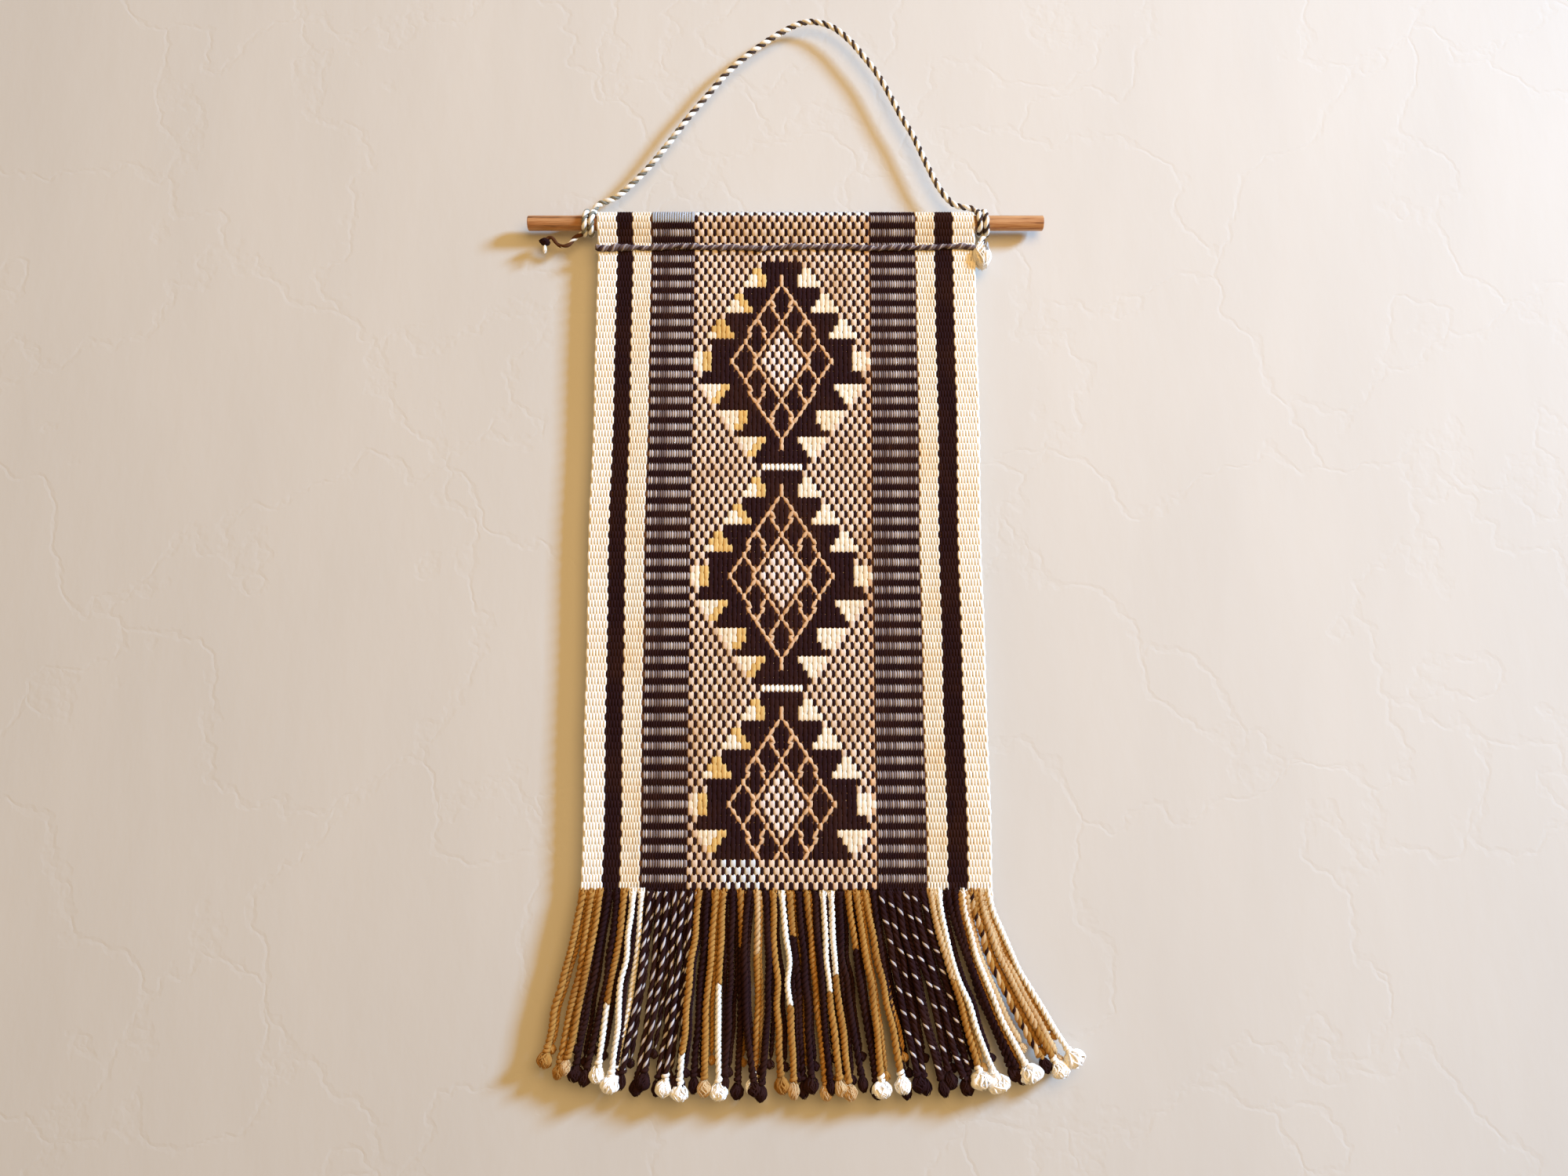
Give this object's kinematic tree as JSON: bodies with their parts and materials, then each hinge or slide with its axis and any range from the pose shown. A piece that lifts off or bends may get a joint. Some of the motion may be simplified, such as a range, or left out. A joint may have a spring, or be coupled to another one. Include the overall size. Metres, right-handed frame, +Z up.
{
  "type": "woven wall hanging",
  "caption": "Warp-faced woven wool band with stripes and stepped motifs, sleeved over a wooden dowel, hung from a two-ply cord loop, with a knotted yarn fringe.",
  "frame": {"origin": "the nail point: the underside of the hanging cord at the top of its loop", "axes": "+Z up, front faces -Y, wall at +Y, +X to the right seen from the front"},
  "size_m": [0.22, 0.0116, 0.4517],
  "materials": {
    "dowel_wood": "oiled, fine straight grain",
    "cloth_wool": "warp-faced woven wool in cream, black, grey and tan",
    "stitch_wool": "dark two-strand twined yarn with pale flecks",
    "cord_wool": "two-ply twist of one white and one dark strand",
    "tan_wool": "tan plied wool",
    "dark_wool": "purple-brown black plied wool",
    "white_wool": "cream white plied wool",
    "flecked_wool": "black plied with white, so it shows white flecks"
  },
  "bodies": {
    "hanger": {"hanger_cord": "cord_wool", "left_knot": "cord_wool", "right_knot": "cord_wool", "left_tail": "cord_wool", "right_tail": "cord_wool"},
    "dowel": {"dowel": "dowel_wood"},
    "cloth": {"woven_panel": "cloth_wool", "hem_stitch": "stitch_wool"},
    "fringe_left_border": {"fringe_cord_01": "tan_wool", "fringe_cord_02": "tan_wool", "fringe_cord_03": "tan_wool", "fringe_cord_04": "dark_wool", "fringe_cord_05": "dark_wool", "fringe_cord_06": "tan_wool", "fringe_cord_07": "white_wool", "fringe_cord_08": "white_wool"},
    "fringe_left_ladder": {"fringe_cord_09": "flecked_wool", "fringe_cord_10": "flecked_wool", "fringe_cord_11": "flecked_wool", "fringe_cord_12": "flecked_wool", "fringe_cord_13": "flecked_wool", "fringe_cord_14": "flecked_wool"},
    "fringe_centre": {"fringe_cord_15": "tan_wool", "fringe_cord_16": "dark_wool", "fringe_cord_17": "tan_wool", "fringe_cord_18": "tan_wool", "fringe_cord_19": "dark_wool", "fringe_cord_20": "tan_wool", "fringe_cord_21": "dark_wool", "fringe_cord_22": "white_wool", "fringe_cord_23": "dark_wool", "fringe_cord_24": "tan_wool", "fringe_cord_25": "white_wool", "fringe_cord_26": "tan_wool", "fringe_cord_27": "dark_wool", "fringe_cord_28": "tan_wool", "fringe_cord_29": "dark_wool", "fringe_cord_30": "white_wool", "fringe_cord_31": "white_wool", "fringe_cord_32": "dark_wool", "fringe_cord_33": "tan_wool", "fringe_cord_34": "white_wool", "fringe_cord_35": "tan_wool", "fringe_cord_36": "dark_wool"},
    "fringe_right_ladder": {"fringe_cord_37": "flecked_wool", "fringe_cord_38": "flecked_wool", "fringe_cord_39": "flecked_wool", "fringe_cord_40": "flecked_wool", "fringe_cord_41": "flecked_wool", "fringe_cord_42": "flecked_wool"},
    "fringe_right_border": {"fringe_cord_43": "tan_wool", "fringe_cord_44": "white_wool", "fringe_cord_45": "dark_wool", "fringe_cord_46": "dark_wool", "fringe_cord_47": "white_wool", "fringe_cord_48": "tan_wool", "fringe_cord_49": "tan_wool", "fringe_cord_50": "white_wool"}
  },
  "joints": [
    {"name": "dowel_turn", "type": "hinge", "parent": "hanger", "child": "dowel", "pos_m": [-0.0093, 0, -0.09325], "axis": [1, 0, 0], "continuous": true},
    {"name": "cloth_swing", "type": "hinge", "parent": "hanger", "child": "cloth", "pos_m": [-0.0093, 0, -0.09325], "axis": [1, 0, 0], "range_deg": [-90, 90]},
    {"name": "fringe_swing_left_border", "type": "hinge", "parent": "cloth", "child": "fringe_left_border", "pos_m": [-0.07667, -0.00065, -0.37205], "axis": [1, 0, 0], "range_deg": [-90, 90]},
    {"name": "fringe_swing_left_ladder", "type": "hinge", "parent": "cloth", "child": "fringe_left_ladder", "pos_m": [-0.05421, -0.00065, -0.37205], "axis": [1, 0, 0], "range_deg": [-90, 90]},
    {"name": "fringe_swing_centre", "type": "hinge", "parent": "cloth", "child": "fringe_centre", "pos_m": [-0.0093, -0.00065, -0.37205], "axis": [1, 0, 0], "range_deg": [-90, 90]},
    {"name": "fringe_swing_right_ladder", "type": "hinge", "parent": "cloth", "child": "fringe_right_ladder", "pos_m": [0.03561, -0.00065, -0.37205], "axis": [1, 0, 0], "range_deg": [-90, 90]},
    {"name": "fringe_swing_right_border", "type": "hinge", "parent": "cloth", "child": "fringe_right_border", "pos_m": [0.05807, -0.00065, -0.37205], "axis": [1, 0, 0], "range_deg": [-90, 90]}
  ]
}
